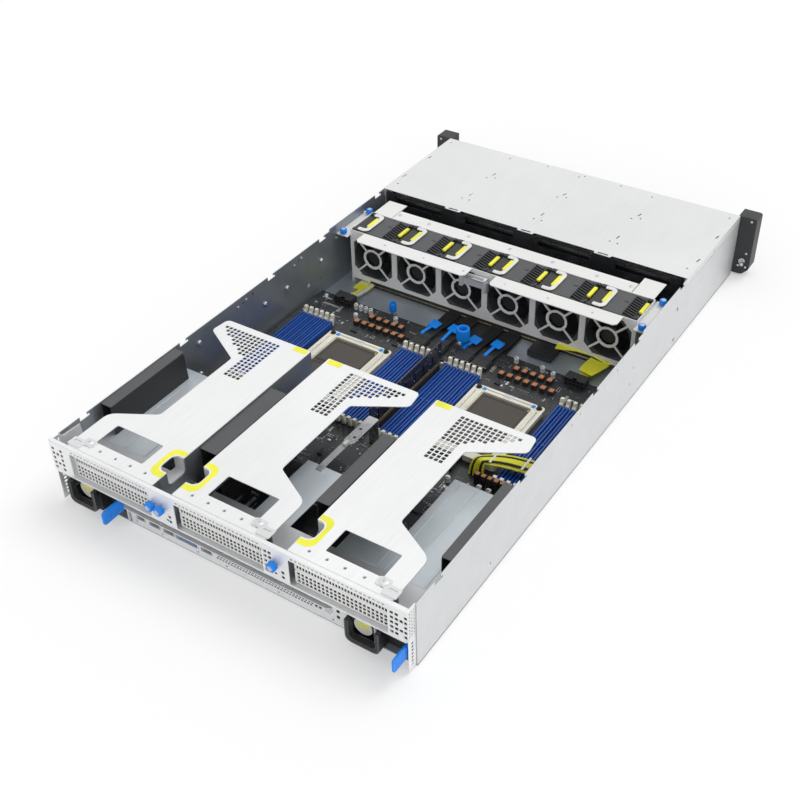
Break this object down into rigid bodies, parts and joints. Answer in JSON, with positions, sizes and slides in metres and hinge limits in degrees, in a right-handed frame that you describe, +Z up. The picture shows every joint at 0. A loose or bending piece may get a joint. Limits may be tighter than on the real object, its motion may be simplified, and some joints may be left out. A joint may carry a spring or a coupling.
{
  "type": "2u rack server",
  "caption": "Open 2U rack server: sheet-metal chassis with lift-out fans and riser cages, slide-out power supplies and lever-latched drive trays, ears at the front.",
  "frame": {"origin": "under the middle of the bounding box, on the plane of the underside", "axes": "+X to the right as seen from the front, +Y from the front to the rear, +Z up"},
  "size_m": [0.4826, 0.838, 0.087],
  "materials": {
    "galvanised_sheet": "satin",
    "lid_sheet": "satin",
    "cage_sheet": "satin",
    "dark_plastic": "matte",
    "button_plastic": "gloss",
    "board_black": "satin",
    "socket_blue": "satin",
    "socket_frame": "satin",
    "board_component": "satin",
    "riser_sheet": "satin",
    "supply_sheet": "satin",
    "latch_blue": "satin",
    "screw_blue": "satin",
    "fan_plastic": "matte",
    "rotor_plastic": "satin",
    "cable_black": "matte",
    "tray_plastic": "matte",
    "lever_plastic": "satin"
  },
  "bodies": {
    "chassis": {"chassis_pan": "galvanised_sheet", "drive_bay_lid": "lid_sheet", "drive_cage": "cage_sheet", "backplane": "board_black", "rack_ears": "dark_plastic", "fan_cage": "cage_sheet", "motherboard": "board_black", "dimm_sockets": "socket_blue", "cpu_sockets": "socket_frame", "board_parts": "board_component", "rear_frame": "cage_sheet", "io_panel": "cage_sheet", "thumbscrews": "screw_blue", "cables": "cable_black"},
    "power_button": {"power_button": "button_plastic"},
    "riser_cage_1": {"riser_cage_1": "riser_sheet"},
    "riser_cage_2": {"riser_cage_2": "riser_sheet"},
    "riser_cage_3": {"riser_cage_3": "riser_sheet"},
    "power_supply_1": {"power_supply_1": "supply_sheet"},
    "supply_latch_1": {"supply_latch_1": "latch_blue"},
    "supply_fan_1": {"supply_fan_1": "rotor_plastic"},
    "power_supply_2": {"power_supply_2": "supply_sheet"},
    "supply_latch_2": {"supply_latch_2": "latch_blue"},
    "supply_fan_2": {"supply_fan_2": "rotor_plastic"},
    "fan_module_1": {"fan_module_1": "fan_plastic"},
    "fan_rotor_1": {"fan_rotor_1": "rotor_plastic"},
    "fan_module_2": {"fan_module_2": "fan_plastic"},
    "fan_rotor_2": {"fan_rotor_2": "rotor_plastic"},
    "fan_module_3": {"fan_module_3": "fan_plastic"},
    "fan_rotor_3": {"fan_rotor_3": "rotor_plastic"},
    "fan_module_4": {"fan_module_4": "fan_plastic"},
    "fan_rotor_4": {"fan_rotor_4": "rotor_plastic"},
    "fan_module_5": {"fan_module_5": "fan_plastic"},
    "fan_rotor_5": {"fan_rotor_5": "rotor_plastic"},
    "fan_module_6": {"fan_module_6": "fan_plastic"},
    "fan_rotor_6": {"fan_rotor_6": "rotor_plastic"},
    "drive_tray_1": {"drive_tray_1": "tray_plastic"},
    "tray_lever_1": {"tray_lever_1": "lever_plastic"},
    "drive_tray_2": {"drive_tray_2": "tray_plastic"},
    "tray_lever_2": {"tray_lever_2": "lever_plastic"},
    "drive_tray_3": {"drive_tray_3": "tray_plastic"},
    "tray_lever_3": {"tray_lever_3": "lever_plastic"},
    "drive_tray_4": {"drive_tray_4": "tray_plastic"},
    "tray_lever_4": {"tray_lever_4": "lever_plastic"},
    "drive_tray_5": {"drive_tray_5": "tray_plastic"},
    "tray_lever_5": {"tray_lever_5": "lever_plastic"},
    "drive_tray_6": {"drive_tray_6": "tray_plastic"},
    "tray_lever_6": {"tray_lever_6": "lever_plastic"},
    "drive_tray_7": {"drive_tray_7": "tray_plastic"},
    "tray_lever_7": {"tray_lever_7": "lever_plastic"},
    "drive_tray_8": {"drive_tray_8": "tray_plastic"},
    "tray_lever_8": {"tray_lever_8": "lever_plastic"},
    "drive_tray_9": {"drive_tray_9": "tray_plastic"},
    "tray_lever_9": {"tray_lever_9": "lever_plastic"},
    "drive_tray_10": {"drive_tray_10": "tray_plastic"},
    "tray_lever_10": {"tray_lever_10": "lever_plastic"},
    "drive_tray_11": {"drive_tray_11": "tray_plastic"},
    "tray_lever_11": {"tray_lever_11": "lever_plastic"},
    "drive_tray_12": {"drive_tray_12": "tray_plastic"},
    "tray_lever_12": {"tray_lever_12": "lever_plastic"}
  },
  "joints": [
    {"name": "power_button_press", "type": "slide", "parent": "chassis", "child": "power_button", "axis": [0, 1, 0], "range_m": [0, 0.0015], "stiffness_N_per_m": 400},
    {"name": "riser_lift_1", "type": "slide", "parent": "chassis", "child": "riser_cage_1", "axis": [0, 0, 1], "range_m": [0, 0.1]},
    {"name": "riser_lift_2", "type": "slide", "parent": "chassis", "child": "riser_cage_2", "axis": [0, 0, 1], "range_m": [0, 0.1]},
    {"name": "riser_lift_3", "type": "slide", "parent": "chassis", "child": "riser_cage_3", "axis": [0, 0, 1], "range_m": [0, 0.1]},
    {"name": "power_supply_slide_1", "type": "slide", "parent": "chassis", "child": "power_supply_1", "axis": [0, 1, 0], "range_m": [0, 0.185]},
    {"name": "supply_latch_turn_1", "type": "hinge", "parent": "power_supply_1", "child": "supply_latch_1", "pos_m": [0.136, 0.384, 0.0285], "axis": [0, 0, -1], "range_deg": [0, 12]},
    {"name": "supply_fan_spin_1", "type": "hinge", "parent": "power_supply_1", "child": "supply_fan_1", "pos_m": [0.188, 0.37, 0.0215], "axis": [0, 1, 0], "continuous": true},
    {"name": "power_supply_slide_2", "type": "slide", "parent": "chassis", "child": "power_supply_2", "axis": [0, 1, 0], "range_m": [0, 0.185]},
    {"name": "supply_latch_turn_2", "type": "hinge", "parent": "power_supply_2", "child": "supply_latch_2", "pos_m": [-0.2143, 0.384, 0.0285], "axis": [0, 0, -1], "range_deg": [0, 12]},
    {"name": "supply_fan_spin_2", "type": "hinge", "parent": "power_supply_2", "child": "supply_fan_2", "pos_m": [-0.1623, 0.37, 0.0215], "axis": [0, 1, 0], "continuous": true},
    {"name": "fan_module_lift_1", "type": "slide", "parent": "chassis", "child": "fan_module_1", "axis": [0, 0, 1], "range_m": [0, 0.09]},
    {"name": "fan_rotor_spin_1", "type": "hinge", "parent": "fan_module_1", "child": "fan_rotor_1", "pos_m": [0.167, -0.142, 0.045], "axis": [0, 1, 0], "continuous": true},
    {"name": "fan_module_lift_2", "type": "slide", "parent": "chassis", "child": "fan_module_2", "axis": [0, 0, 1], "range_m": [0, 0.09]},
    {"name": "fan_rotor_spin_2", "type": "hinge", "parent": "fan_module_2", "child": "fan_rotor_2", "pos_m": [0.1002, -0.142, 0.045], "axis": [0, 1, 0], "continuous": true},
    {"name": "fan_module_lift_3", "type": "slide", "parent": "chassis", "child": "fan_module_3", "axis": [0, 0, 1], "range_m": [0, 0.09]},
    {"name": "fan_rotor_spin_3", "type": "hinge", "parent": "fan_module_3", "child": "fan_rotor_3", "pos_m": [0.0334, -0.142, 0.045], "axis": [0, 1, 0], "continuous": true},
    {"name": "fan_module_lift_4", "type": "slide", "parent": "chassis", "child": "fan_module_4", "axis": [0, 0, 1], "range_m": [0, 0.09]},
    {"name": "fan_rotor_spin_4", "type": "hinge", "parent": "fan_module_4", "child": "fan_rotor_4", "pos_m": [-0.0334, -0.142, 0.045], "axis": [0, 1, 0], "continuous": true},
    {"name": "fan_module_lift_5", "type": "slide", "parent": "chassis", "child": "fan_module_5", "axis": [0, 0, 1], "range_m": [0, 0.09]},
    {"name": "fan_rotor_spin_5", "type": "hinge", "parent": "fan_module_5", "child": "fan_rotor_5", "pos_m": [-0.1002, -0.142, 0.045], "axis": [0, 1, 0], "continuous": true},
    {"name": "fan_module_lift_6", "type": "slide", "parent": "chassis", "child": "fan_module_6", "axis": [0, 0, 1], "range_m": [0, 0.09]},
    {"name": "fan_rotor_spin_6", "type": "hinge", "parent": "fan_module_6", "child": "fan_rotor_6", "pos_m": [-0.167, -0.142, 0.045], "axis": [0, 1, 0], "continuous": true},
    {"name": "tray_slide_1", "type": "slide", "parent": "chassis", "child": "drive_tray_1", "axis": [0, -1, 0], "range_m": [0, 0.15]},
    {"name": "tray_lever_swing_1", "type": "hinge", "parent": "drive_tray_1", "child": "tray_lever_1", "pos_m": [-0.2121, -0.3953, 0.0098], "axis": [0, 0, -1], "range_deg": [0, 90]},
    {"name": "tray_slide_2", "type": "slide", "parent": "chassis", "child": "drive_tray_2", "axis": [0, -1, 0], "range_m": [0, 0.15]},
    {"name": "tray_lever_swing_2", "type": "hinge", "parent": "drive_tray_2", "child": "tray_lever_2", "pos_m": [-0.1041, -0.3953, 0.0098], "axis": [0, 0, -1], "range_deg": [0, 90]},
    {"name": "tray_slide_3", "type": "slide", "parent": "chassis", "child": "drive_tray_3", "axis": [0, -1, 0], "range_m": [0, 0.15]},
    {"name": "tray_lever_swing_3", "type": "hinge", "parent": "drive_tray_3", "child": "tray_lever_3", "pos_m": [0.0039, -0.3953, 0.0098], "axis": [0, 0, -1], "range_deg": [0, 90]},
    {"name": "tray_slide_4", "type": "slide", "parent": "chassis", "child": "drive_tray_4", "axis": [0, -1, 0], "range_m": [0, 0.15]},
    {"name": "tray_lever_swing_4", "type": "hinge", "parent": "drive_tray_4", "child": "tray_lever_4", "pos_m": [0.1119, -0.3953, 0.0098], "axis": [0, 0, -1], "range_deg": [0, 90]},
    {"name": "tray_slide_5", "type": "slide", "parent": "chassis", "child": "drive_tray_5", "axis": [0, -1, 0], "range_m": [0, 0.15]},
    {"name": "tray_lever_swing_5", "type": "hinge", "parent": "drive_tray_5", "child": "tray_lever_5", "pos_m": [-0.2121, -0.3953, 0.03807], "axis": [0, 0, -1], "range_deg": [0, 90]},
    {"name": "tray_slide_6", "type": "slide", "parent": "chassis", "child": "drive_tray_6", "axis": [0, -1, 0], "range_m": [0, 0.15]},
    {"name": "tray_lever_swing_6", "type": "hinge", "parent": "drive_tray_6", "child": "tray_lever_6", "pos_m": [-0.1041, -0.3953, 0.03807], "axis": [0, 0, -1], "range_deg": [0, 90]},
    {"name": "tray_slide_7", "type": "slide", "parent": "chassis", "child": "drive_tray_7", "axis": [0, -1, 0], "range_m": [0, 0.15]},
    {"name": "tray_lever_swing_7", "type": "hinge", "parent": "drive_tray_7", "child": "tray_lever_7", "pos_m": [0.0039, -0.3953, 0.03807], "axis": [0, 0, -1], "range_deg": [0, 90]},
    {"name": "tray_slide_8", "type": "slide", "parent": "chassis", "child": "drive_tray_8", "axis": [0, -1, 0], "range_m": [0, 0.15]},
    {"name": "tray_lever_swing_8", "type": "hinge", "parent": "drive_tray_8", "child": "tray_lever_8", "pos_m": [0.1119, -0.3953, 0.03807], "axis": [0, 0, -1], "range_deg": [0, 90]},
    {"name": "tray_slide_9", "type": "slide", "parent": "chassis", "child": "drive_tray_9", "axis": [0, -1, 0], "range_m": [0, 0.15]},
    {"name": "tray_lever_swing_9", "type": "hinge", "parent": "drive_tray_9", "child": "tray_lever_9", "pos_m": [-0.2121, -0.3953, 0.06633], "axis": [0, 0, -1], "range_deg": [0, 90]},
    {"name": "tray_slide_10", "type": "slide", "parent": "chassis", "child": "drive_tray_10", "axis": [0, -1, 0], "range_m": [0, 0.15]},
    {"name": "tray_lever_swing_10", "type": "hinge", "parent": "drive_tray_10", "child": "tray_lever_10", "pos_m": [-0.1041, -0.3953, 0.06633], "axis": [0, 0, -1], "range_deg": [0, 90]},
    {"name": "tray_slide_11", "type": "slide", "parent": "chassis", "child": "drive_tray_11", "axis": [0, -1, 0], "range_m": [0, 0.15]},
    {"name": "tray_lever_swing_11", "type": "hinge", "parent": "drive_tray_11", "child": "tray_lever_11", "pos_m": [0.0039, -0.3953, 0.06633], "axis": [0, 0, -1], "range_deg": [0, 90]},
    {"name": "tray_slide_12", "type": "slide", "parent": "chassis", "child": "drive_tray_12", "axis": [0, -1, 0], "range_m": [0, 0.15]},
    {"name": "tray_lever_swing_12", "type": "hinge", "parent": "drive_tray_12", "child": "tray_lever_12", "pos_m": [0.1119, -0.3953, 0.06633], "axis": [0, 0, -1], "range_deg": [0, 90]}
  ]
}
